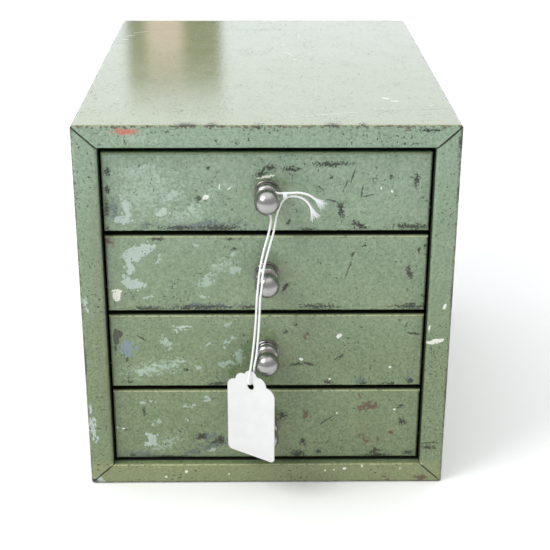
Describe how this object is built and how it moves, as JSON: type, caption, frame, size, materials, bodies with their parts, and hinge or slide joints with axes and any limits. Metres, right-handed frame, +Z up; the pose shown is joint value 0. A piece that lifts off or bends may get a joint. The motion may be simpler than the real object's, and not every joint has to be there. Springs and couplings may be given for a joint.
{
  "type": "small parts drawer cabinet",
  "caption": "Folded sheet-steel cabinet with inset drawers stacked on side runners, each pulled by a turned ball knob; a strung paper tag hangs from the top knob.",
  "frame": {"origin": "on the surface that the cabinet stands on, in the middle of its width and of its depth with the knobs", "axes": "+Z up; -Y is the front, the way the drawers pull out; +X is to the right seen from the front"},
  "size_m": [0.205, 0.3029, 0.216],
  "materials": {
    "case_enamel": "worn gloss enamel",
    "front_enamel": "worn gloss enamel",
    "tray_enamel": "satin enamel",
    "runner_steel": "dull mill finish",
    "knob_metal": "satin, handled",
    "screw_steel": "zinc plated",
    "tag_card": "smooth uncoated card",
    "tag_string": "soft twisted cotton"
  },
  "bodies": {
    "cabinet": {"case_wrap": "case_enamel", "case_base": "case_enamel", "case_back": "case_enamel", "runner_1_left": "runner_steel", "runner_1_right": "runner_steel", "runner_2_left": "runner_steel", "runner_2_right": "runner_steel", "runner_3_left": "runner_steel", "runner_3_right": "runner_steel", "runner_4_left": "runner_steel", "runner_4_right": "runner_steel"},
    "drawer_1": {"drawer_1_front": "front_enamel", "drawer_1_tray": "tray_enamel", "drawer_1_knob": "knob_metal", "drawer_1_knob_washer": "screw_steel", "drawer_1_knob_screw": "screw_steel", "tag_card": "tag_card", "tag_string": "tag_string"},
    "drawer_2": {"drawer_2_front": "front_enamel", "drawer_2_tray": "tray_enamel", "drawer_2_knob": "knob_metal", "drawer_2_knob_washer": "screw_steel", "drawer_2_knob_screw": "screw_steel"},
    "drawer_3": {"drawer_3_front": "front_enamel", "drawer_3_tray": "tray_enamel", "drawer_3_knob": "knob_metal", "drawer_3_knob_washer": "screw_steel", "drawer_3_knob_screw": "screw_steel"},
    "drawer_4": {"drawer_4_front": "front_enamel", "drawer_4_tray": "tray_enamel", "drawer_4_knob": "knob_metal", "drawer_4_knob_washer": "screw_steel", "drawer_4_knob_screw": "screw_steel"}
  },
  "joints": [
    {"name": "drawer_1_slide", "type": "slide", "parent": "cabinet", "child": "drawer_1", "axis": [0, -1, 0], "range_m": [0, 0.2]},
    {"name": "drawer_2_slide", "type": "slide", "parent": "cabinet", "child": "drawer_2", "axis": [0, -1, 0], "range_m": [0, 0.2], "deforming": ["tag_card", "tag_string"]},
    {"name": "drawer_3_slide", "type": "slide", "parent": "cabinet", "child": "drawer_3", "axis": [0, -1, 0], "range_m": [0, 0.2], "deforming": ["tag_card", "tag_string"]},
    {"name": "drawer_4_slide", "type": "slide", "parent": "cabinet", "child": "drawer_4", "axis": [0, -1, 0], "range_m": [0, 0.2], "deforming": ["tag_card", "tag_string"]}
  ]
}
